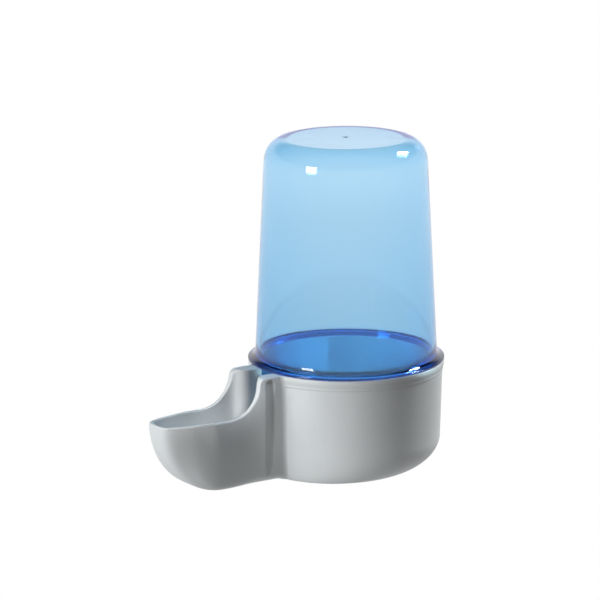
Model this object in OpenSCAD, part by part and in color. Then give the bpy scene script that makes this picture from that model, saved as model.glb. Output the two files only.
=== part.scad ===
// Siphon drinker for cage birds and small livestock: a clear inverted tank
// standing in a round base with a boat-shaped drinking trough.
// Millimetres, +Z up, origin under the drum axis on the ground, trough towards -Y.

/* [Base drum] */
// Outer radius of the drum just under its collar
drum_r = 38.3; // [38:0.1:38.6]
// Height of the rim that carries the tank
rim_h = 43.4; // [43:0.1:46]
// Wall and floor thickness of the base
base_t = 1.6; // [1.4:0.1:2]
// Rounding between the drum wall and its bottom
heel_r = 10; // [8:0.5:11]
// How much narrower the drum wall is at the foot than at the collar
drum_draft = 0.8; // [0.3:0.1:1]
// Height of the collar band below the rim
collar_h = 4.1; // [3:0.1:5]
// How far the collar stands out from the drum wall
collar_out = 0.6; // [0.4:0.1:0.9]

/* [Drinking trough] */
// Distance from the drum axis to the tip of the trough
reach = 89.5; // [88:0.5:92]
// Half the width of the trough
trough_hw = 11.5; // [11:0.1:12.5]
// Height of the drinking lip, also the radius of the curved prow
lip_h = 28.7; // [27:0.1:29]
// Rounding along the bottom edges of the trough
bilge_r = 7; // [6:0.5:9]
// Plan radius of the curved trough sides
side_r = 42; // [41:1:48]
// Radius of the curve that climbs from the lip to the rim
swoop_r = 13.5; // [11.5:0.5:13.5]
// Plan radius of the hollow corner between neck and drum
neck_r = 3; // [2.5:0.5:4]
// Half the width of the passage through the neck
slot_hw = 4.8; // [4.4:0.1:5.2]
// Distance from the drum axis to the narrow end of the funnel in front of the passage
funnel_y = 42.2; // [42:0.1:43]

/* [Wire grooves] */
// Width of the upright groove for a cage wire on each side of the neck
groove_w = 4.4; // [4.2:0.1:5]
// Distance from the drum axis to the middle of the grooves
groove_y = 43.4; // [43.2:0.1:43.8]
// Half the width of the neck between the two grooves
neck_hw = 8.9; // [8.4:0.1:9.4]
// Thickness of the web that closes the grooves at the rim
web_t = 0.8; // [0.7:0.1:1.5]

/* [Tank] */
// Height of the tank top above the ground
tank_top = 132.6; // [120:0.1:145]
// Outer radius of the tank where the shoulder begins
tank_r_top = 32.4; // [31:0.1:34]
// Outer radius of the tank just above its flange
tank_r_low = 36.05; // [35:0.05:36.5]
// Outer radius of the flange
flange_r = 39.1; // [38.6:0.1:39.6]
// Thickness of the flange at its outer edge
flange_t = 1; // [0.8:0.1:1.4]
// Radius of the hollow curve from the flange up to the tank wall
fillet_r = 3.3; // [2.5:0.1:4]
// Rounding of the shoulder
shoulder_r = 9; // [6:0.5:12]
// Wall thickness of the tank at its open end and skirt
tank_t = 1.4; // [1.2:0.1:2]
// Wall thickness of the tank at its closed end
top_t = 1; // [0.9:0.05:1.6]
// Height above the ground of the skirt edge that sets the water level
skirt_z = 18; // [15:0.5:22]
// Play between the skirt and the drum wall at the rim
skirt_gap = 0.8; // [0.7:0.1:1.5]

/* [Hidden] */
$fn = 96;
// clearance between the flange and the rim it rests on
seat_gap = 0.05;
// outer radius of the skirt under the flange
skirt_r = drum_r - base_t - skirt_gap;
// drum radius at the start of the bottom rounding
foot_r = drum_r - drum_draft;
// nose rounding of the plan outline, touching both curved sides
prow_c = reach - lip_h;
nose_d = reach - 66;
plan_hw = trough_hw + 0.5;
nose_r = (2 * plan_hw * side_r - plan_hw * plan_hw - nose_d * nose_d) / (2 * side_r - 2 * nose_d);
nose_y = -(reach - nose_r);
// angle on the side curve where the nose rounding takes over
side_a = atan2(-(nose_y + 66), side_r - plan_hw);
// hollow centre at the neck
neck_x = trough_hw + neck_r;
neck_y = -sqrt((foot_r + neck_r) * (foot_r + neck_r) - neck_x * neck_x);
// angle where the two curves of the funnel meet
funnel_a = acos(1 - (trough_hw - base_t - slot_hw) / 12);
// flare of that hollow towards the bottom
flare_r = heel_r + 3;
// lean of the tank wall
lean = atan2(tank_r_low - tank_r_top, tank_top - shoulder_r - rim_h - flange_t - fillet_r);
// how far the hollow curve above the flange turns
fillet_a = acos(1 - min(0.95, (flange_r - 0.4 - tank_r_low) / fillet_r));

function arc(cx, cy, r, a0, a1, n) = [for (i = [0 : n]) let (a = a0 + (a1 - a0) * i / n) [cx + r * cos(a), cy + r * sin(a)]];

// half outline of the trough seen from above, from the drum to the tip
function plan_half(e) = concat(
    e > 0 ? concat(arc(slot_hw + 5, -funnel_y, 5, 180, 180 + funnel_a, 6),
        arc(trough_hw - e - 7, -funnel_y - 12 * sin(funnel_a), 7, funnel_a - 8, 0, 6)) : [[plan_hw, -20]],
    arc(plan_hw - side_r, -66, side_r - e, 0, -side_a, 6),
    arc(0, nose_y, nose_r - e, -side_a - 3, -90, 8));

function flip(p) = [for (i = [len(p) - 1 : -1 : 0]) [-p[i][0], p[i][1]]];

// upright cross-section of the trough as [half width, height]
function section(e, top) = concat(
    [[0, e]],
    arc(trough_hw - bilge_r, bilge_r, bilge_r - e, -90, 0, 7),
    [[trough_hw - e, top], [0, top]]);

// same cross-section as [distance from the prow axis, half width]
function prow_section(e) = concat(
    [[0.01, 0], [lip_h - e, 0]],
    [for (p = arc(trough_hw - bilge_r, bilge_r, bilge_r - e, -90, 0, 7)) [lip_h - p[1], p[0]]],
    [[0.01, trough_hw - e]]);

module mirrored_x() { children(); mirror([1, 0, 0]) children(); }

// round-bottomed channel with its curved prow
module channel(e, top) {
    mirrored_x() {
        translate([0, -20, 0]) rotate([90, 0, 0])
            linear_extrude(prow_c - 20) polygon(section(e, top));
        translate([0, -prow_c, lip_h]) rotate([0, 90, 0]) rotate([0, 0, -90])
            rotate_extrude(angle = 90) polygon(prow_section(e));
    }
}

// side view that cuts the lip, the climbing curve and the rim
module side_view() {
    rotate([90, 0, 90]) linear_extrude(60, center = true) polygon(concat(
        [[-reach - 5, -1], [-reach - 5, lip_h], [-(48.1 + swoop_r), lip_h]],
        arc(-(48.1 + swoop_r), lip_h + swoop_r, swoop_r, -84, -6, 12),
        arc(-46.1, rim_h - 2, 2, 170, 92, 5),
        [[-44, rim_h], [-20, rim_h], [-20, -1]]));
}

module trough_outer() {
    intersection() {
        channel(0, rim_h + 5);
        translate([0, 0, -1]) linear_extrude(rim_h + 10)
            polygon(concat(plan_half(0), flip(plan_half(0))));
        side_view();
    }
}

module trough_inner() {
    intersection() {
        union() {
            channel(base_t, rim_h + 5);
            translate([0, -prow_c, lip_h + 5]) cube([2 * (trough_hw - base_t), 2 * (lip_h - base_t), 10.002], center = true);
        }
        translate([0, 0, -1]) linear_extrude(rim_h + 10)
            polygon(concat(plan_half(base_t), flip(plan_half(base_t))));
    }
}

module drum_outer() {
    rotate_extrude() polygon(concat(
        [[0, 0]],
        arc(foot_r - heel_r, heel_r, heel_r, -90, 0, 10),
        [[drum_r, rim_h - collar_h - 0.7],
         [drum_r + collar_out * 0.5, rim_h - collar_h],
         [drum_r + collar_out, rim_h - 0.25],
         [drum_r + collar_out - 0.2, rim_h],
         [0, rim_h]]));
}

module drum_inner() {
    rotate_extrude() polygon(concat(
        [[0, base_t]],
        arc(foot_r - heel_r, heel_r, heel_r - base_t, -90, 0, 10),
        [[drum_r - base_t, rim_h - 0.5], [drum_r - base_t + 0.3, rim_h + 0.001],
         [drum_r - base_t + 0.3, rim_h + 5], [0, rim_h + 5]]));
}

// narrow passage from the trough through the neck into the drum
module slot() {
    mirrored_x() translate([0, -28, 0]) rotate([90, 0, 0])
        linear_extrude(22) polygon(concat(
            [[-0.01, base_t]],
            arc(slot_hw - 2, base_t + 2, 2, -90, 0, 5),
            [[slot_hw, rim_h + 5], [-0.01, rim_h + 5]]));
}

// upright groove with an arched top on one side of the neck
module groove() {
    translate([neck_hw, 0, 0]) rotate([90, 0, 90]) linear_extrude(20) polygon(concat(
        [[-groove_y + groove_w / 2, -1]],
        arc(-groove_y, rim_h - web_t - groove_w / 2, groove_w / 2, 0, 180, 12),
        [[-groove_y - groove_w / 2, -1]]));
}

// filled corner between neck and drum
module neck() {
    s = foot_r / (foot_r + neck_r);
    difference() {
        linear_extrude(rim_h) polygon([
            [trough_hw - 1, neck_y], [neck_x, neck_y],
            [neck_x * s - 0.4, neck_y * s + 0.8], [trough_hw - 1, neck_y * s + 0.8]]);
        translate([neck_x, neck_y, 0]) rotate_extrude() polygon(concat(
            [[0, -1], [neck_r + flare_r, -1]],
            arc(neck_r + flare_r, flare_r, flare_r, -90, -180, 8),
            [[neck_r, rim_h + 1], [0, rim_h + 1]]));
    }
}

// one moulding: drum, collar, neck and trough
module base() {
    color([0.70, 0.72, 0.74]) difference() {
        union() {
            drum_outer();
            trough_outer();
            mirrored_x() neck();
        }
        drum_inner();
        trough_inner();
        slot();
        mirrored_x() groove();
    }
}

// one moulding: closed top, tapered wall, flange and skirt
module tank() {
    sc = tank_r_top - shoulder_r * (1 / cos(lean)) ;
    sz = tank_top - shoulder_r;
    fz = rim_h + seat_gap;
    ft = fz + flange_t + fillet_r;
    color([0.45, 0.68, 0.92, 0.5]) rotate_extrude() polygon(concat(
        [[skirt_r - 0.4 - tank_t, skirt_z], [skirt_r - 0.4, skirt_z], [skirt_r, fz], [flange_r - 0.2, fz],
         [flange_r, fz + 0.2], [flange_r, fz + flange_t - 0.3], [flange_r - 0.12, fz + flange_t - 0.1]],
        arc(tank_r_low + fillet_r, ft, fillet_r, 180 + fillet_a, 180 + lean, 10),
        arc(sc, sz, shoulder_r, lean, 90, 10),
        [[0, tank_top], [0, tank_top - top_t]],
        arc(sc, sz, shoulder_r - top_t, 90, lean, 8),
        [[tank_r_low - tank_t, ft]]));
}

base();
tank();
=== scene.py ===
import math

import bpy
import numpy as np
from mathutils import Matrix, Vector


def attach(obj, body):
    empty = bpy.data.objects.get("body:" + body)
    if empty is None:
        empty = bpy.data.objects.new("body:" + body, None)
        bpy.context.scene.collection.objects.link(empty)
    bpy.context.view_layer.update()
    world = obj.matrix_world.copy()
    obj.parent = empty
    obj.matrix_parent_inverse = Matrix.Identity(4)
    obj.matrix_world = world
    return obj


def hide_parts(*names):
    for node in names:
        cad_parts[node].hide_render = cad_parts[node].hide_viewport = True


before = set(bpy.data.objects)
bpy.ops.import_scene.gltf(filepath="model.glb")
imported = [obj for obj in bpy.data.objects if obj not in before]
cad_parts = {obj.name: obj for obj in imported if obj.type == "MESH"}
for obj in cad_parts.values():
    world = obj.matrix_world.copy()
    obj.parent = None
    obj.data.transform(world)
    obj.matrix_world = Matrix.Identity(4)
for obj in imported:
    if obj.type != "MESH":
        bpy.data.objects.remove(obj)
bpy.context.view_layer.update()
MM = 0.001


# ---------------------------------------------------------------- helpers
def sstep(a, b, t):
    t = np.clip((t - a) / (b - a), 0.0, 1.0)
    return t * t * (3.0 - 2.0 * t)


def join_round(a, b, r):
    """union of two distance fields with a hollow fillet of radius r"""
    return np.maximum(r, np.minimum(a, b)) - np.hypot(np.maximum(r - a, 0.0), np.maximum(r - b, 0.0))


def cut_round(a, b, r):
    """intersection of two distance fields with a rounded edge of radius r"""
    return np.minimum(-r, np.maximum(a, b)) + np.hypot(np.maximum(r + a, 0.0), np.maximum(r + b, 0.0))


# ---------------------------------------------------------------- base: the shape as a distance field, mm
RIM, LIP, WALL, LIP_T = 43.4, 28.8, 1.6, 1.6
PROW_Y, PROW_R = -62.2, 28.3


def drum_radius(z):
    return 37.1 + 1.22 * np.minimum(z, 39.0) / 39.0


def drum(x, y, z, inset):
    """round drum with a bottom rounding that is wider at the back than at the neck"""
    rho = np.hypot(x, y) + 1e-9
    c = -y / rho
    flat = 6.9 * c + np.sqrt(27.3 ** 2 - 6.9 ** 2 * (1.0 - c * c))
    rad = drum_radius(z)
    if inset == 0.0:
        rad = rad + 0.25 * sstep(38.9, 39.5, z) + 0.45 * sstep(39.8, 42.2, z)
    h = rad - inset - flat
    b = 12.3 - inset
    u = np.maximum((rho - flat) / h, 0.0)
    v = np.maximum((12.3 - z) / b, 0.0)
    s = np.sqrt(u * u + v * v) + 1e-9
    slope = np.sqrt((u / h) ** 2 + (v / b) ** 2) / s
    return (s - 1.0) / np.maximum(slope, 1e-3)


# plan of the bow at the lip: distance back from the tip against half width, blunt in front and then fairing into the sides
BOW_X = np.linspace(0.0, 11.5, 461)
BOW_D = np.interp(BOW_X, [0.0, 2.2, 3.9, 5.2, 6.3, 7.3, 8.3, 9.3, 10.3, 11.05, 11.5], [0.0, 0.05, 0.22, 0.7, 1.55, 2.95, 5.5, 9.0, 13.2, 17.6, 24.0])
for _ in range(3):
    BOW_D = np.convolve(np.concatenate([BOW_D[20:0:-1], BOW_D, 2 * BOW_D[-1] - BOW_D[-2:-22:-1]]), np.ones(41) / 41.0, "valid")
BOW_D = BOW_D - BOW_D[0]
BOW_G = np.gradient(BOW_D, BOW_X)


def hull_form(x, y, z, inset, width):
    """boat-shaped channel: level keel, round bilge, quarter-round prow with a blunt bow"""
    ax = np.abs(x)
    dy, dz = (y - PROW_Y) * 1.045, z - PROW_R
    r = PROW_R - inset
    low = np.hypot(np.minimum(dy, 0.0), np.minimum(dz, 0.0)) - r
    q = np.where(dy < 0.0, low, np.where(dz < 0.0, -dz - r, -r))
    theta = np.arctan2(np.maximum(-dy, 0.0), np.maximum(-dz, 1e-6))
    k = sstep(0.15, 1.35, theta) * sstep(3.0, 14.0, np.hypot(np.minimum(dy, 0.0), np.minimum(dz, 0.0)))
    w = 11.5 - inset
    bil = 6.8 + 1.8 * sstep(-60.0, -47.0, y) - inset
    xl = np.minimum(ax, w - 0.12)
    t = np.maximum(xl - (w - bil), 0.0)
    root = np.sqrt(np.maximum(bil * bil - t * t, 1e-6))
    d_u, g_u = bil - root, t / root
    s = 11.5 / w
    d_e, g_e = np.interp(xl * s, BOW_X, BOW_D), np.interp(xl * s, BOW_X, BOW_G) * s
    d = (1.0 - k) * d_u + k * d_e
    g = (1.0 - k) * g_u + k * g_e
    d = d + g * (ax - xl)
    return cut_round((q + d) / np.sqrt(1.0 + g * g), ax - width, 2.0)


def half_width(y, z):
    """outer side of the trough: drawn in a little at the rim of the neck, swelling towards the groove and set back behind it"""
    t = np.clip((y + 54.0) / 8.0, 0.0, 1.0)
    rim = sstep(36.0, 43.0, z)
    swell = np.clip(y + 54.5, 0.0, 9.5)
    back = 0.85 * sstep(-43.5, -42.5, y) * (1.0 - sstep(35.0, 42.0, z))
    return 11.62 - 0.35 * t * t * rim + 0.0042 * swell * swell * (1.0 - rim) - back - 0.022 * np.maximum(28.0 - z, 0.0)


def funnel(x, y):
    """side of the water way: wide in the trough, then two arcs down to the passage through the neck"""
    t = np.clip(y + 52.0, 0.0, 9.83)
    a = np.minimum(t, 5.734)
    b = np.minimum(9.83 - t, 4.096)
    first = np.sqrt(49.0 - a * a)
    second = np.sqrt(25.0 - b * b)
    inward = t < 5.734
    w = np.where(inward, 10.15 - 7.0 + first, 5.05 + 5.0 - second)
    g = np.where(inward, a / first, b / second)
    return (np.abs(x) - w) / np.sqrt(1.0 + g * g)


def base_field(x, y, z):
    ax = np.abs(x)
    width = half_width(y, z)
    boat = np.maximum(hull_form(x, y, z, 0.0, width), y + 24.0)
    shell = join_round(boat, drum(x, y, z, 0.0), 1.4)
    top = cut_round(z - RIM, join_round(z - LIP, -48.1 - y, 13.5), 2.6)
    f = cut_round(shell, top, 0.18 + 0.42 * sstep(40.5, 45.0, -y))
    well = np.maximum(cut_round(hull_form(x, y, z, LIP_T, 11.62 - LIP_T), funnel(x, y), 1.5), y + 30.0)
    hollow = join_round(well, drum(x, y, z, WALL), 0.6)
    f = cut_round(f, -hollow, 0.55)
    arch = np.where(z < 40.5, np.abs(y + 43.3) - 2.0, np.hypot(y + 43.3, z - 40.5) - 2.0)
    groove = cut_round(9.7 - ax, arch, 1.9)
    return cut_round(f, -groove, 0.5)


def ticks(*spans):
    """grid lines from (end, step) spans"""
    out = [spans[0]]
    for end, step in spans[1:]:
        n = max(1, int(round((end - out[-1]) / step)))
        out += list(out[-1] + (end - out[-1]) * np.arange(1, n + 1) / n)
    return np.array(out)


def field_mesh(field, xs, ys, zs):
    """closed mesh of field = 0 for a form that is its own mirror image in x; xs starts at minus half a step"""
    X, Y, Z = np.meshgrid(xs, ys, zs, indexing="ij")
    V = np.empty(X.shape)
    for i in range(len(xs)):
        V[i] = field(X[i], Y[i], Z[i])
    S = V < 0.0
    n = [len(a) - 1 for a in (xs, ys, zs)]
    corners = [(i, j, k) for i in (0, 1) for j in (0, 1) for k in (0, 1)]
    count = np.zeros(n, np.int8)
    for i, j, k in corners:
        count += S[i:i + n[0], j:j + n[1], k:k + n[2]]
    I, J, K = np.nonzero((count > 0) & (count < 8))
    ids = np.full(n, -1, np.int32)
    ids[I, J, K] = np.arange(len(I))
    pos, num = np.zeros((len(I), 3)), np.zeros(len(I))
    for a in corners:
        for axis in range(3):
            if a[axis]:
                continue
            b = list(a)
            b[axis] = 1
            va = V[I + a[0], J + a[1], K + a[2]]
            vb = V[I + b[0], J + b[1], K + b[2]]
            hit = (va < 0.0) != (vb < 0.0)
            t = np.where(hit, va / np.where(hit, va - vb, 1.0), 0.0)
            pa = np.stack([xs[I + a[0]], ys[J + a[1]], zs[K + a[2]]], 1)
            pb = np.stack([xs[I + b[0]], ys[J + b[1]], zs[K + b[2]]], 1)
            pos += np.where(hit[:, None], pa + (pb - pa) * t[:, None], 0.0)
            num += hit
    pos /= num[:, None]
    quads = []
    for axis in range(3):
        lo = [slice(None)] * 3
        hi = [slice(None)] * 3
        lo[axis], hi[axis] = slice(0, -1), slice(1, None)
        change = S[tuple(lo)] != S[tuple(hi)]
        A = np.array(np.nonzero(change)).T
        u, w = [(1, 2), (2, 0), (0, 1)][axis]
        ok = (A[:, u] > 0) & (A[:, w] > 0) & (A[:, u] < n[u]) & (A[:, w] < n[w])
        A = A[ok]
        inside = S[tuple(A.T)]
        ring = []
        for du, dw in ((-1, -1), (0, -1), (0, 0), (-1, 0)):
            c = A.copy()
            c[:, u] += du
            c[:, w] += dw
            ring.append(ids[tuple(c.T)])
        q = np.stack(ring, 1)
        q[~inside] = q[~inside][:, ::-1]
        quads.append(q)
    quads = np.concatenate(quads)
    mid = I == 0
    pos[mid, 0] = 0.0

    def slope(p):
        h = 0.02
        g = np.empty_like(p)
        for axis in range(3):
            a, b = p.copy(), p.copy()
            a[:, axis] += h
            b[:, axis] -= h
            g[:, axis] = (field(*a.T) - field(*b.T)) / (2.0 * h)
        return g

    for turn in range(4):
        g = slope(pos)
        g[mid, 0] = 0.0
        step = field(*pos.T) / np.maximum((g * g).sum(1), 0.05)
        pos -= np.clip(step, -0.25, 0.25)[:, None] * g
    nrm = slope(pos)
    nrm[mid, 0] = 0.0
    nrm /= np.maximum(np.linalg.norm(nrm, axis=1), 1e-9)[:, None]
    twin = np.arange(len(pos))
    other = np.flatnonzero(~mid)
    twin[other] = len(pos) + np.arange(len(other))
    flip = np.array([-1.0, 1.0, 1.0])
    allpos = np.concatenate([pos, pos[other] * flip])
    allnrm = np.concatenate([nrm, nrm[other] * flip])
    allquads = np.concatenate([quads, twin[quads][:, ::-1]])
    return allpos, allquads, allnrm


def new_piece(name, pos_mm, faces, normals=None):
    mesh = bpy.data.meshes.new(name)
    mesh.from_pydata((pos_mm * MM).tolist(), [], faces.tolist() if hasattr(faces, "tolist") else faces)
    mesh.validate(clean_customdata=False)
    mesh.polygons.foreach_set("use_smooth", np.ones(len(mesh.polygons), bool))
    if normals is not None:
        mesh.normals_split_custom_set_from_vertices(normals.tolist())
    mesh.update()
    obj = bpy.data.objects.new(name, mesh)
    bpy.context.scene.collection.objects.link(obj)
    return obj


def build_base():
    s = 1.0
    x0 = 0.26 * s
    xs = ticks(-x0, (x0, 2 * x0), (13.4, 0.52 * s), (20.0, 0.66 * s), (40.2, 0.8 * s))
    ys = ticks(-91.6, (-38.0, 0.52 * s), (-30.0, 0.66 * s), (39.6, 0.8 * s))
    zs = ticks(-0.7, (1.0, 0.34 * s), (3.0, 0.5 * s), (27.2, 0.75 * s), (29.4, 0.22 * s), (38.4, 0.6 * s), (39.8, 0.2 * s),
               (42.0, 0.4 * s), (44.2, 0.2 * s))
    return new_piece("base_moulding", *field_mesh(base_field, xs, ys, zs))


# ---------------------------------------------------------------- tank: turned profile, mm
def arc_pts(cx, cz, r, a0, a1, n):
    a = np.radians(np.linspace(a0, a1, n + 1))
    return np.stack([cx + r * np.cos(a), cz + r * np.sin(a)], 1)


def smooth_through(pts, n):
    """evenly spread points on a smooth curve through pts"""
    p = np.array(pts, float)
    out = []
    for i in range(len(p) - 1):
        a, b = p[max(i - 1, 0)], p[i]
        c, d = p[i + 1], p[min(i + 2, len(p) - 1)]
        for t in np.arange(n) / n:
            out.append(0.5 * (2 * b + (c - a) * t + (2 * a - 5 * b + 4 * c - d) * t ** 2 + (3 * b - a - 3 * c + d) * t ** 3))
    out.append(p[-1])
    return np.array(out)


def tank_profile():
    top, r_top, r_low, sh = 132.6, 32.4, 36.05, 9.0
    lean = math.degrees(math.atan2(r_low - r_top, top - sh - 48.6))
    sc, sz = r_top - sh / math.cos(math.radians(lean)), top - sh
    t, wall = 1.05, 0.84

    def line(a, b, n):
        s = np.linspace(0.0, 1.0, n + 1)[:, None]
        return np.array(a) * (1 - s) + np.array(b) * s

    skirt_low = [35.5, 18.0]
    outer = [
        arc_pts(skirt_low[0] - 0.5, 18.5, 0.5, -90, 0, 4),
        line([35.51, 19.0], [35.88, 42.9], 16),
        arc_pts(36.38, 42.95, 0.5, 180, 90, 4),
        line([36.8, 43.45], [38.2, 43.45], 3),
        arc_pts(38.47, 44.07, 0.62, -90, 20, 9),
        smooth_through([[39.02, 44.33], [38.96, 44.38], [38.88, 44.41], [38.78, 44.42]], 2),
        arc_pts(39.4, 47.67, 3.3, 258, 183, 22),
        line([36.02, 49.6], [r_top, sz + sh * math.sin(math.radians(lean))], 40),
        arc_pts(sc, sz, sh, lean + 3, 90, 30),
        line([sc - 0.05, top], [sc - 0.3, top], 2),
        line([sc - 0.6, top], [1.6, top], 12),
        smooth_through([[1.5, top], [1.25, top - 0.01], [1.1, top - 0.06], [0.9, top - 0.08], [0.5, top - 0.07], [0.3, top], [0.0, top + 0.03]], 3),
    ]
    turn = arc_pts(sc - 1.0, sz - 1.0, sh + 1.0 - t, 90, lean, 30)
    turn[:, 0] = sc - 1.0 + (turn[:, 0] - sc + 1.0) * (sh + 1.0 - wall) / (sh + 1.0 - t)
    inner = [
        line([0.0, top - t], [sc - 1.5, top - t], 10),
        line([sc - 1.3, top - t], [sc - 1.05, top - t], 2),
        turn,
        line([r_top - wall + 0.1, sz - 3.0], [r_low - 1.37, 48.6], 40),
        line([34.62, 47.6], [33.95, 20.0], 20),
        arc_pts(33.9 + 0.5, 18.5, 0.5, 180, 270, 4),
    ]
    return np.concatenate(outer + inner)


def build_tank():
    prof = tank_profile()
    keep = [0]
    for i in range(1, len(prof)):
        if np.hypot(*(prof[i] - prof[keep[-1]])) > 1e-4:
            keep.append(i)
    prof = prof[keep]
    n = 288
    ang = 2 * np.pi * np.arange(n) / n
    axis_at = [i for i in range(len(prof)) if prof[i, 0] < 1e-6]
    pos, ring = [], []
    for i, (r, z) in enumerate(prof):
        if i in axis_at:
            ring.append([len(pos)])
            pos.append((0.0, 0.0, z))
        else:
            ring.append(list(range(len(pos), len(pos) + n)))
            pos += [(r * math.cos(a), r * math.sin(a), z) for a in ang]
    faces = []
    m = len(prof)
    for i in range(m):
        a, b = ring[i], ring[(i + 1) % m]
        if len(a) == 1 and len(b) == 1:
            continue
        for k in range(n):
            l = (k + 1) % n
            if len(b) == 1:
                faces.append((a[k], a[l], b[0]))
            elif len(a) == 1:
                faces.append((a[0], b[l], b[k]))
            else:
                faces.append((a[k], a[l], b[l], b[k]))
    return new_piece("tank_moulding", np.array(pos), faces)


# ---------------------------------------------------------------- materials
def node(tree, kind, **values):
    n = tree.nodes.new(kind)
    for key, v in values.items():
        if hasattr(n, key):
            setattr(n, key, v)
        else:
            n.inputs[key].default_value = v
    return n


def fresh(name):
    mat = bpy.data.materials.new(name)
    mat.use_nodes = True
    mat.node_tree.nodes.clear()
    return mat, mat.node_tree


def put(n, socket, value):
    n.inputs[socket].default_value = value


def base_material():
    mat, t = fresh("base_plastic")
    link = t.links.new
    out = node(t, "ShaderNodeOutputMaterial")
    bsdf = node(t, "ShaderNodeBsdfPrincipled")
    put(bsdf, "IOR", 1.49)
    put(bsdf, "Specular IOR Level", 0.5)
    put(bsdf, "Subsurface Weight", 0.0)
    pos = node(t, "ShaderNodeTexCoord")
    # slow flow of the pigment, drawn out along the wall
    stretch = node(t, "ShaderNodeMapping")
    put(stretch, "Scale", (1.0, 1.0, 0.35))
    link(pos.outputs["Object"], stretch.inputs["Vector"])
    cloud = node(t, "ShaderNodeTexNoise")
    put(cloud, "Scale", 45.0); put(cloud, "Detail", 4.0); put(cloud, "Roughness", 0.55)
    link(stretch.outputs["Vector"], cloud.inputs["Vector"])
    tint = node(t, "ShaderNodeValToRGB")
    tint.color_ramp.elements[0].position, tint.color_ramp.elements[0].color = 0.3, (0.465, 0.490, 0.500, 1)
    tint.color_ramp.elements[1].position, tint.color_ramp.elements[1].color = 0.7, (0.505, 0.530, 0.540, 1)
    link(cloud.outputs["Fac"], tint.inputs["Fac"])
    # fine specks in the plastic
    speck = node(t, "ShaderNodeTexNoise")
    put(speck, "Scale", 2600.0); put(speck, "Detail", 2.0)
    link(pos.outputs["Object"], speck.inputs["Vector"])
    speck_ramp = node(t, "ShaderNodeValToRGB")
    speck_ramp.color_ramp.elements[0].position, speck_ramp.color_ramp.elements[0].color = 0.30, (0.94, 0.94, 0.94, 1)
    speck_ramp.color_ramp.elements[1].position, speck_ramp.color_ramp.elements[1].color = 0.46, (1, 1, 1, 1)
    link(speck.outputs["Fac"], speck_ramp.inputs["Fac"])
    mixc = node(t, "ShaderNodeMix", data_type="RGBA", blend_type="MULTIPLY")
    mixc.inputs[0].default_value = 1.0
    link(tint.outputs["Color"], mixc.inputs[6])
    link(speck_ramp.outputs["Color"], mixc.inputs[7])
    link(mixc.outputs[2], bsdf.inputs["Base Color"])
    # moulded skin: satin with faint handling marks
    rub = node(t, "ShaderNodeTexNoise")
    put(rub, "Scale", 320.0); put(rub, "Detail", 6.0); put(rub, "Roughness", 0.65)
    link(pos.outputs["Object"], rub.inputs["Vector"])
    rough = node(t, "ShaderNodeMapRange")
    put(rough, "From Min", 0.3); put(rough, "From Max", 0.72); put(rough, "To Min", 0.36); put(rough, "To Max", 0.48)
    link(rub.outputs["Fac"], rough.inputs["Value"])
    link(rough.outputs["Result"], bsdf.inputs["Roughness"])
    grain = node(t, "ShaderNodeTexNoise")
    put(grain, "Scale", 1500.0); put(grain, "Detail", 3.0); put(grain, "Roughness", 0.6)
    link(pos.outputs["Object"], grain.inputs["Vector"])
    bump = node(t, "ShaderNodeBump")
    put(bump, "Strength", 0.12); put(bump, "Distance", 0.00006)
    link(grain.outputs["Fac"], bump.inputs["Height"])
    link(bump.outputs["Normal"], bsdf.inputs["Normal"])
    link(bsdf.outputs["BSDF"], out.inputs["Surface"])
    return mat


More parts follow.
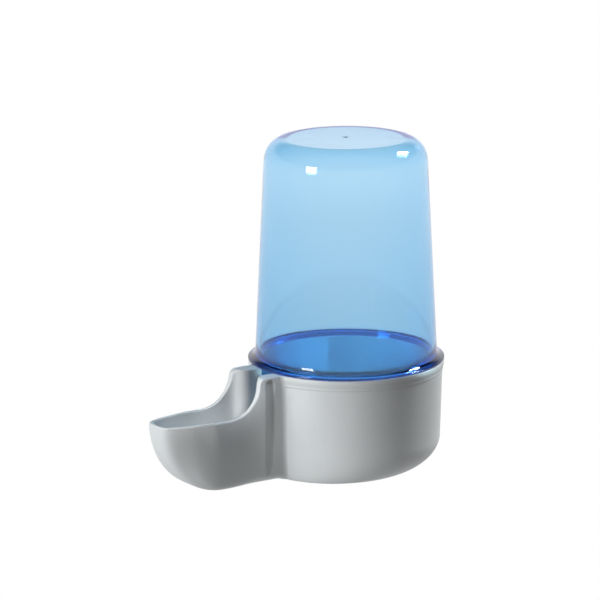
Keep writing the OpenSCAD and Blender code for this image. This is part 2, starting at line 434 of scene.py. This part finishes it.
def tank_material():
    mat, t = fresh("tank_plastic")
    link = t.links.new
    out = node(t, "ShaderNodeOutputMaterial")
    bsdf = node(t, "ShaderNodeBsdfPrincipled")
    put(bsdf, "IOR", 1.52)
    put(bsdf, "Transmission Weight", 1.0)
    pos = node(t, "ShaderNodeTexCoord")
    # stronger blue on the flange, standing in for the thick plastic, and painted shade along its edge: near-black navy
    # for the dark gap under the flange
    level = node(t, "ShaderNodeMapping")
    put(level, "Scale", (1.0, 1.0, 0.0))
    link(pos.outputs["Object"], level.inputs["Vector"])
    away = node(t, "ShaderNodeVectorMath", operation="LENGTH")
    link(level.outputs["Vector"], away.inputs[0])
    outward = node(t, "ShaderNodeMapRange")
    put(outward, "From Min", 0.0361); put(outward, "From Max", 0.0391); put(outward, "To Min", 0.0); put(outward, "To Max", 1.0)
    link(away.outputs["Value"], outward.inputs["Value"])
    flange_blue_and_edge_shade = node(t, "ShaderNodeValToRGB")
    flange_blue_and_edge_shade.color_ramp.elements[0].position, flange_blue_and_edge_shade.color_ramp.elements[0].color = 0.0, (0.93, 0.97, 1.0, 1)
    flange_blue_and_edge_shade.color_ramp.elements[1].position, flange_blue_and_edge_shade.color_ramp.elements[1].color = 0.45, (0.22, 0.45, 1.0, 1)
    # the last stop is painted shade: near-black navy at the flange's outer edge
    for place, colour in ((0.78, (0.16, 0.38, 1.0, 1)), (0.93, (0.006, 0.03, 0.16, 1))):
        flange_blue_and_edge_shade.color_ramp.elements.new(place).color = colour
    link(outward.outputs["Result"], flange_blue_and_edge_shade.inputs["Fac"])
    link(flange_blue_and_edge_shade.outputs["Color"], bsdf.inputs["Base Color"])
    # faint rubbing marks and haze
    mark = node(t, "ShaderNodeTexNoise")
    put(mark, "Scale", 240.0); put(mark, "Detail", 5.0); put(mark, "Roughness", 0.6)
    link(pos.outputs["Object"], mark.inputs["Vector"])
    rough = node(t, "ShaderNodeMapRange")
    put(rough, "From Min", 0.35); put(rough, "From Max", 0.75); put(rough, "To Min", 0.015); put(rough, "To Max", 0.05)
    link(mark.outputs["Fac"], rough.inputs["Value"])
    link(rough.outputs["Result"], bsdf.inputs["Roughness"])
    # slow waviness of the moulded wall
    wave_map = node(t, "ShaderNodeMapping")
    put(wave_map, "Scale", (1.0, 1.0, 0.4))
    link(pos.outputs["Object"], wave_map.inputs["Vector"])
    wave = node(t, "ShaderNodeTexNoise")
    put(wave, "Scale", 60.0); put(wave, "Detail", 2.0)
    link(wave_map.outputs["Vector"], wave.inputs["Vector"])
    bump = node(t, "ShaderNodeBump")
    put(bump, "Strength", 0.25); put(bump, "Distance", 0.0003)
    link(wave.outputs["Fac"], bump.inputs["Height"])
    link(bump.outputs["Normal"], bsdf.inputs["Normal"])
    # lamps shine through the clear wall
    clear = node(t, "ShaderNodeBsdfTransparent")
    put(clear, "Color", (0.562, 0.567, 0.570, 1.0))
    way = node(t, "ShaderNodeLightPath")
    mix = node(t, "ShaderNodeMixShader")
    link(way.outputs["Is Shadow Ray"], mix.inputs["Fac"])
    link(bsdf.outputs["BSDF"], mix.inputs[1])
    link(clear.outputs["BSDF"], mix.inputs[2])
    link(mix.outputs["Shader"], out.inputs["Surface"])
    body = node(t, "ShaderNodeVolumeAbsorption")
    put(body, "Color", (0.0, 0.61, 0.90, 1.0))
    put(body, "Density", 370.0)
    link(body.outputs["Volume"], out.inputs["Volume"])
    return mat


# ---------------------------------------------------------------- object
base_obj = build_base()
tank_obj = build_tank()
base_obj.data.materials.append(base_material())
tank_obj.data.materials.append(tank_material())
for piece, body, slot in ((base_obj, "base", "base_plastic"), (tank_obj, "tank", "tank_plastic")):
    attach(piece, body)
    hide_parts(body)

# ---------------------------------------------------------------- stage, light, camera
floor_mesh = bpy.data.meshes.new("floor")
floor_mesh.from_pydata([(-4, -4, -0.0003), (4, -4, -0.0003), (4, 4, -0.0003), (-4, 4, -0.0003)], [], [(0, 1, 2, 3)])
floor = bpy.data.objects.new("floor", floor_mesh)
bpy.context.scene.collection.objects.link(floor)
fmat, ft = fresh("floor_white")
f_out = node(ft, "ShaderNodeOutputMaterial")
f_way = node(ft, "ShaderNodeLightPath")
f_glow = node(ft, "ShaderNodeEmission")
# the floor is white to the camera and a little shaded around the drinker when seen through the tank
f_geo = node(ft, "ShaderNodeNewGeometry")
f_far = node(ft, "ShaderNodeVectorMath", operation="LENGTH")
ft.links.new(f_geo.outputs["Position"], f_far.inputs[0])
f_fade = node(ft, "ShaderNodeMapRange", interpolation_type="SMOOTHSTEP")
put(f_fade, "From Min", 0.15); put(f_fade, "From Max", 0.42); put(f_fade, "To Min", 0.87); put(f_fade, "To Max", 0.915)
ft.links.new(f_far.outputs["Value"], f_fade.inputs["Value"])
f_rise = node(ft, "ShaderNodeMapRange", interpolation_type="SMOOTHSTEP")
put(f_rise, "From Min", 0.43); put(f_rise, "From Max", 0.56); put(f_rise, "To Min", 0.0); put(f_rise, "To Max", 0.085)
ft.links.new(f_far.outputs["Value"], f_rise.inputs["Value"])
f_sum = node(ft, "ShaderNodeMath", operation="ADD")
ft.links.new(f_fade.outputs["Result"], f_sum.inputs[0])
ft.links.new(f_rise.outputs["Result"], f_sum.inputs[1])
f_open = node(ft, "ShaderNodeMath", operation="MAXIMUM")
ft.links.new(f_way.outputs["Is Camera Ray"], f_open.inputs[0])
ft.links.new(f_sum.outputs["Value"], f_open.inputs[1])
ft.links.new(f_open.outputs["Value"], f_glow.inputs["Strength"])
# painted light: for bounced rays the floor glows, brightest right under the drinker, standing in for light the floor
# throws back up onto it
f_dim = node(ft, "ShaderNodeEmission")
f_near = node(ft, "ShaderNodeMapRange", interpolation_type="SMOOTHSTEP")
put(f_near, "From Min", 0.04); put(f_near, "From Max", 0.16); put(f_near, "To Min", 0.43); put(f_near, "To Max", 0.03)
ft.links.new(f_far.outputs["Value"], f_near.inputs["Value"])
ft.links.new(f_near.outputs["Result"], f_dim.inputs["Strength"])
f_see = node(ft, "ShaderNodeMath", operation="LESS_THAN")
put(f_see, 1, 0.5)
ft.links.new(f_way.outputs["Diffuse Depth"], f_see.inputs[0])
f_mix = node(ft, "ShaderNodeMixShader")
ft.links.new(f_see.outputs["Value"], f_mix.inputs["Fac"])
ft.links.new(f_dim.outputs["Emission"], f_mix.inputs[1])
ft.links.new(f_glow.outputs["Emission"], f_mix.inputs[2])
ft.links.new(f_mix.outputs["Shader"], f_out.inputs["Surface"])
floor_mesh.materials.append(fmat)

world = bpy.data.worlds.new("studio")
bpy.context.scene.world = world
world.use_nodes = True
wt = world.node_tree
wt.nodes.clear()
w_out = node(wt, "ShaderNodeOutputWorld")
w_way = node(wt, "ShaderNodeLightPath")
w_white = node(wt, "ShaderNodeBackground")
put(w_white, "Color", (1, 1, 1, 1))
put(w_white, "Strength", 1.0)
w_soft = node(wt, "ShaderNodeBackground")
put(w_soft, "Color", (1, 1, 1, 1)); put(w_soft, "Strength", 0.02)
w_gloss = node(wt, "ShaderNodeBackground")
put(w_gloss, "Color", (1, 1, 1, 1))
# in reflections the room is a white sweep up to about 15 degrees, pale on the camera's side and dark above
w_dir = node(wt, "ShaderNodeTexCoord")
w_xyz = node(wt, "ShaderNodeSeparateXYZ")
wt.links.new(w_dir.outputs["Generated"], w_xyz.inputs["Vector"])
w_low = node(wt, "ShaderNodeMapRange", interpolation_type="SMOOTHSTEP")
put(w_low, "From Min", 0.25); put(w_low, "From Max", 0.46); put(w_low, "To Min", 1.0); put(w_low, "To Max", 0.06)
wt.links.new(w_xyz.outputs["Z"], w_low.inputs["Value"])
w_dot = node(wt, "ShaderNodeVectorMath", operation="DOT_PRODUCT")
put(w_dot, 1, (0.839, -0.545, 0.0))
wt.links.new(w_dir.outputs["Generated"], w_dot.inputs[0])
w_front = node(wt, "ShaderNodeMapRange", interpolation_type="SMOOTHSTEP")
put(w_front, "From Min", -0.5); put(w_front, "From Max", 0.3); put(w_front, "To Min", 0.0); put(w_front, "To Max", 0.7)
wt.links.new(w_dot.outputs["Value"], w_front.inputs["Value"])
w_most = node(wt, "ShaderNodeMath", operation="MAXIMUM")
wt.links.new(w_low.outputs["Result"], w_most.inputs[0])
wt.links.new(w_front.outputs["Result"], w_most.inputs[1])
wt.links.new(w_most.outputs["Value"], w_gloss.inputs["Strength"])
w_clear = node(wt, "ShaderNodeMixShader")
# only what is mirrored off the outside sees that room, rays that went through the plastic see white
w_out_side = node(wt, "ShaderNodeMath", operation="LESS_THAN")
put(w_out_side, 1, 0.5)
wt.links.new(w_way.outputs["Transmission Depth"], w_out_side.inputs[0])
w_mirror = node(wt, "ShaderNodeMath", operation="MULTIPLY")
wt.links.new(w_way.outputs["Is Glossy Ray"], w_mirror.inputs[0])
wt.links.new(w_out_side.outputs["Value"], w_mirror.inputs[1])
wt.links.new(w_mirror.outputs["Value"], w_clear.inputs["Fac"])
wt.links.new(w_white.outputs["Background"], w_clear.inputs[1])
wt.links.new(w_gloss.outputs["Background"], w_clear.inputs[2])
w_see = node(wt, "ShaderNodeMath", operation="LESS_THAN")
put(w_see, 1, 0.5)
wt.links.new(w_way.outputs["Diffuse Depth"], w_see.inputs[0])
w_mix = node(wt, "ShaderNodeMixShader")
wt.links.new(w_see.outputs["Value"], w_mix.inputs["Fac"])
wt.links.new(w_soft.outputs["Background"], w_mix.inputs[1])
wt.links.new(w_clear.outputs["Shader"], w_mix.inputs[2])
wt.links.new(w_mix.outputs["Shader"], w_out.inputs["Surface"])


def softbox(name, azimuth, elevation, distance, width, height, watts):
    """area light; azimuth in degrees from -Y towards +X"""
    a, e = math.radians(azimuth), math.radians(elevation)
    d = Vector((math.sin(a) * math.cos(e), -math.cos(a) * math.cos(e), math.sin(e)))
    target = Vector((0.0, -0.01, 0.06))
    data = bpy.data.lights.new(name, "AREA")
    data.shape = "RECTANGLE"
    data.size, data.size_y = width, height
    data.energy = watts
    lamp = bpy.data.objects.new(name, data)
    lamp.location = target + d * distance
    lamp.rotation_euler = (-d).to_track_quat("-Z", "Y").to_euler()
    bpy.context.scene.collection.objects.link(lamp)
    return lamp


softbox("key_left", 7.0, 14.0, 1.3, 0.35, 0.52, 12.0)
for name, azimuth, elevation, watts in (("key_mid", -2.0, 12.0, 5.5), ("key_far", -10.0, 12.0, 4.0), ("fill_near", 165.0, 42.0, 5.0)):
    lamp = softbox(name, azimuth, elevation, 1.3, 0.40, 0.40, watts)
    lamp.visible_glossy = lamp.visible_transmission = False
softbox("fill_right", 180.0, 42.0, 1.3, 0.28, 0.28, 17.0)


def beam(name, start, target, angle, watts, blend=0.8):
    """narrow lamp from above"""
    data = bpy.data.lights.new(name, "SPOT")
    data.energy = watts
    data.spot_size, data.spot_blend = math.radians(angle), blend
    data.shadow_soft_size = 0.006
    lamp = bpy.data.objects.new(name, data)
    lamp.location = start
    lamp.rotation_euler = (Vector(target) - Vector(start)).to_track_quat("-Z", "Y").to_euler()
    lamp.visible_glossy = lamp.visible_transmission = False
    bpy.context.scene.collection.objects.link(lamp)


# light on the back of the drum's inside, through the front of the tank; it goes with the tank, so that it doesn't glare in the open base
a, e = math.radians(57.0), math.radians(26.0)
toward = Vector((math.sin(a) * math.cos(e), -math.cos(a) * math.cos(e), math.sin(e)))
strip = bpy.data.lights.new("inside", "AREA")
strip.shape = "RECTANGLE"
strip.size, strip.size_y = 0.064, 0.024
strip.energy = 0.092
strip.color = (0.58, 0.9, 1.0)
strip.spread = math.radians(1.6)
lamp = bpy.data.objects.new("inside", strip)
lamp.location = Vector((-0.026, 0.017, 0.034)) + toward * 0.6
lamp.rotation_euler = (-toward).to_track_quat("-Z", "Y").to_euler()
lamp.visible_camera = lamp.visible_glossy = lamp.visible_transmission = False
bpy.context.scene.collection.objects.link(lamp)
bpy.context.view_layer.update()
lamp.parent = tank_obj
lamp.matrix_parent_inverse = tank_obj.matrix_world.inverted()
for k in range(3):
    beam("trough_%d" % k, (0.54, -0.080 + 0.012 * k, 0.66), (-0.008, -0.080 + 0.012 * k, 0.021), 1.7, (16.0, 14.0, 22.0)[k])
beam("neck", (0.42, -0.14, 0.71), (0.0105, -0.040, 0.030), 2.2, 8.0)

scene = bpy.context.scene
scene.view_settings.view_transform = "Standard"
scene.view_settings.look = "None"
scene.cycles.use_denoising = True
scene.cycles.max_bounces = 32
scene.cycles.glossy_bounces = 32
scene.cycles.transmission_bounces = 32
scene.cycles.transparent_max_bounces = 16

cam_data = bpy.data.cameras.new("camera")
cam_data.sensor_width = 36.0
cam_data.lens = 3882.32 / 600.0 * 36.0
cam_data.clip_start, cam_data.clip_end = 0.05, 50.0
cam = bpy.data.objects.new("camera", cam_data)
fw = Vector((-0.81645, 0.52945, -0.23041)).normalized()
rt = fw.cross(Vector((-0.19071, 0.12939, 0.97308))).normalized()
up = rt.cross(fw)
cam.matrix_world = Matrix(((rt.x, up.x, -fw.x, 1.248596), (rt.y, up.y, -fw.y, -0.831471), (rt.z, up.z, -fw.z, 0.42211), (0, 0, 0, 1)))
scene.collection.objects.link(cam)
scene.camera = cam
